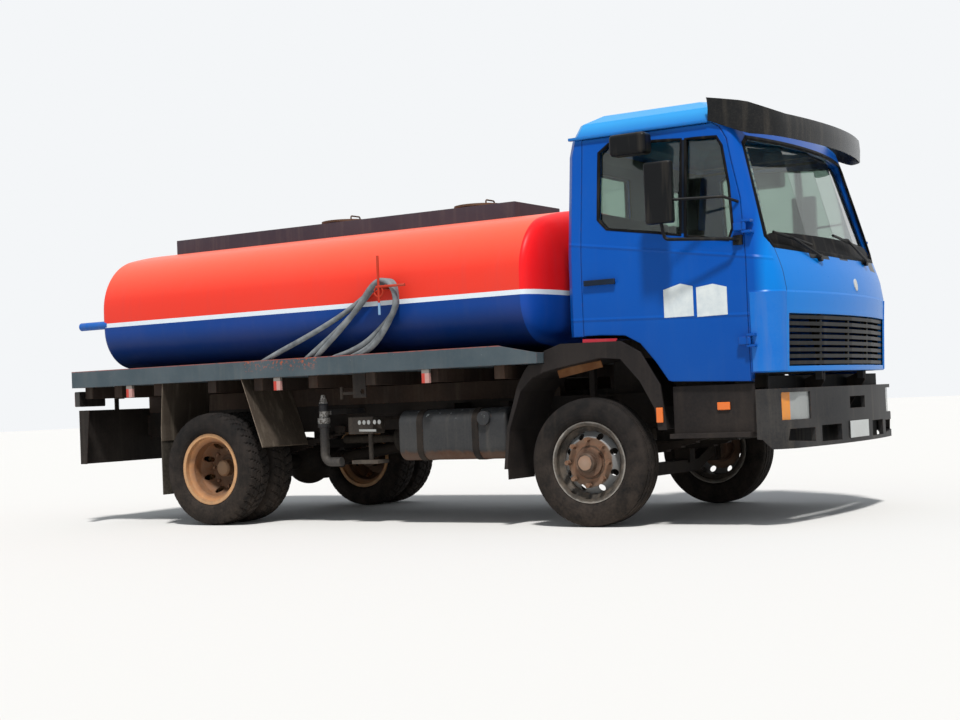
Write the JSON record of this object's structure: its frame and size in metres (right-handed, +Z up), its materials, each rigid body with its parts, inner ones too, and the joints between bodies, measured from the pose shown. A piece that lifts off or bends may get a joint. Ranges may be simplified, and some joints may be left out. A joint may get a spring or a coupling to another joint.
{
  "type": "tanker truck",
  "caption": "Cab-over tank truck with a rounded tank and spill rail on a flat deck, a delivery hose on a hook, twin rear wheels, steering front wheels, opening doors and a tilting cab.",
  "frame": {"origin": "On the ground under the middle of the truck's length and width.", "axes": "+X to the front of the cab, +Y to the truck's left, +Z up."},
  "size_m": [6.015, 2.6, 2.7179],
  "materials": {
    "chassis_paint": "dusty black chassis paint",
    "engine_iron": "oily cast iron",
    "fuel_blue": "dull dark paint, rusty below",
    "bracket_steel": "worn grey paint with rust",
    "deck_grey": "scratched grey paint with rust chips",
    "tank_red": "faded gloss enamel with a white stripe and blue below",
    "box_grey": "dull dark paint",
    "pipe_paint": "worn enamel",
    "hose_rubber": "matt grey rubber hose",
    "flap_rubber": "dusty rubber sheet",
    "lamp_red": "red lamp lens",
    "bumper_grey": "dull dark grey paint",
    "lamp_lens": "clear and amber lamp lens",
    "plate_white": "blank white plate",
    "guard_black": "dusty black plastic",
    "cab_blue": "weathered blue gloss paint",
    "seat_cloth": "dark seat cloth",
    "window_glass": "clear safety glass",
    "tyre_rubber": "worn dusty tyre rubber",
    "rim_steel": "silver paint with rust"
  },
  "bodies": {
    "chassis": {"chassis_frame": "chassis_paint", "front_axle": "chassis_paint", "rear_axle": "chassis_paint", "leaf_springs": "chassis_paint", "engine": "engine_iron", "drive_shaft": "chassis_paint", "silencer": "engine_iron", "fuel_tank": "fuel_blue", "fuel_straps": "bracket_steel", "battery_box": "chassis_paint", "bearers": "chassis_paint", "deck": "deck_grey", "tank": "tank_red", "spill_box": "box_grey", "manhole_necks": "box_grey", "delivery_pipe": "pipe_paint", "meter_and_levers": "bracket_steel", "hose_hook": "bracket_steel", "delivery_hose": "hose_rubber", "hose_couplings": "pipe_paint", "rear_wings": "bracket_steel", "mud_flaps": "flap_rubber", "tail_panel": "chassis_paint", "lamps": "lamp_red", "bumper": "bumper_grey", "headlamps": "lamp_lens", "number_plate": "plate_white", "step_boxes": "bracket_steel", "front_mudguards": "guard_black"},
    "cab": {"cab_front": "cab_blue", "cab_rear_wall": "cab_blue", "cab_roof": "cab_blue", "cab_floor": "cab_blue", "seats": "seat_cloth", "dashboard": "guard_black", "steering_wheel": "guard_black", "grille": "guard_black", "cab_glass": "window_glass", "visor": "guard_black", "wipers": "guard_black"},
    "door_right_body": {"door_right": "cab_blue", "door_glass_right": "window_glass", "door_mirror_right": "guard_black"},
    "steered_right": {"knuckle_right": "chassis_paint"},
    "front_wheel_right": {"front_tyre_right": "tyre_rubber", "front_rim_right": "rim_steel"},
    "rear_wheels_right": {"rear_tyres_right": "tyre_rubber", "rear_rims_right": "rim_steel"},
    "door_left_body": {"door_left": "cab_blue", "door_glass_left": "window_glass", "door_mirror_left": "guard_black"},
    "steered_left": {"knuckle_left": "chassis_paint"},
    "front_wheel_left": {"front_tyre_left": "tyre_rubber", "front_rim_left": "rim_steel"},
    "rear_wheels_left": {"rear_tyres_left": "tyre_rubber", "rear_rims_left": "rim_steel"},
    "lid_front": {"manhole_lid_front": "box_grey"},
    "lid_rear": {"manhole_lid_rear": "box_grey"}
  },
  "joints": [
    {"name": "cab_tilt", "type": "hinge", "parent": "chassis", "child": "cab", "pos_m": [2.8975, 0, 0.915], "axis": [0, 1, 0], "range_deg": [0, 50]},
    {"name": "door_right_hinge", "type": "hinge", "parent": "cab", "child": "door_right_body", "pos_m": [2.7095, -1.116, 1.5], "axis": [0, 0, 1], "range_deg": [0, 70]},
    {"name": "door_left_hinge", "type": "hinge", "parent": "cab", "child": "door_left_body", "pos_m": [2.7095, 1.116, 1.5], "axis": [0, 0, -1], "range_deg": [0, 70]},
    {"name": "steer_left", "type": "hinge", "parent": "chassis", "child": "steered_left", "pos_m": [1.5575, 0.85, 0.42], "axis": [0, 0, 1], "range_deg": [-38, 38]},
    {"name": "steer_right", "type": "hinge", "parent": "chassis", "child": "steered_right", "pos_m": [1.5575, -0.85, 0.42], "axis": [0, 0, 1], "range_deg": [-38, 38]},
    {"name": "front_wheel_left_spin", "type": "hinge", "parent": "steered_left", "child": "front_wheel_left", "pos_m": [1.5575, 1, 0.42], "axis": [0, 1, 0], "continuous": true},
    {"name": "front_wheel_right_spin", "type": "hinge", "parent": "steered_right", "child": "front_wheel_right", "pos_m": [1.5575, -1, 0.42], "axis": [0, 1, 0], "continuous": true},
    {"name": "rear_wheels_left_spin", "type": "hinge", "parent": "chassis", "child": "rear_wheels_left", "pos_m": [-1.5925, 0.965, 0.42], "axis": [0, 1, 0], "continuous": true},
    {"name": "rear_wheels_right_spin", "type": "hinge", "parent": "chassis", "child": "rear_wheels_right", "pos_m": [-1.5925, -0.965, 0.42], "axis": [0, 1, 0], "continuous": true},
    {"name": "lid_front_hinge", "type": "hinge", "parent": "chassis", "child": "lid_front", "pos_m": [-0.0865, 0, 2.304], "axis": [0, -1, 0], "range_deg": [0, 110]},
    {"name": "lid_rear_hinge", "type": "hinge", "parent": "chassis", "child": "lid_rear", "pos_m": [-1.3465, 0, 2.304], "axis": [0, -1, 0], "range_deg": [0, 110]}
  ],
  "couplings": [
    {"joint": "steer_right", "follows": "steer_left", "ratio": 1}
  ]
}
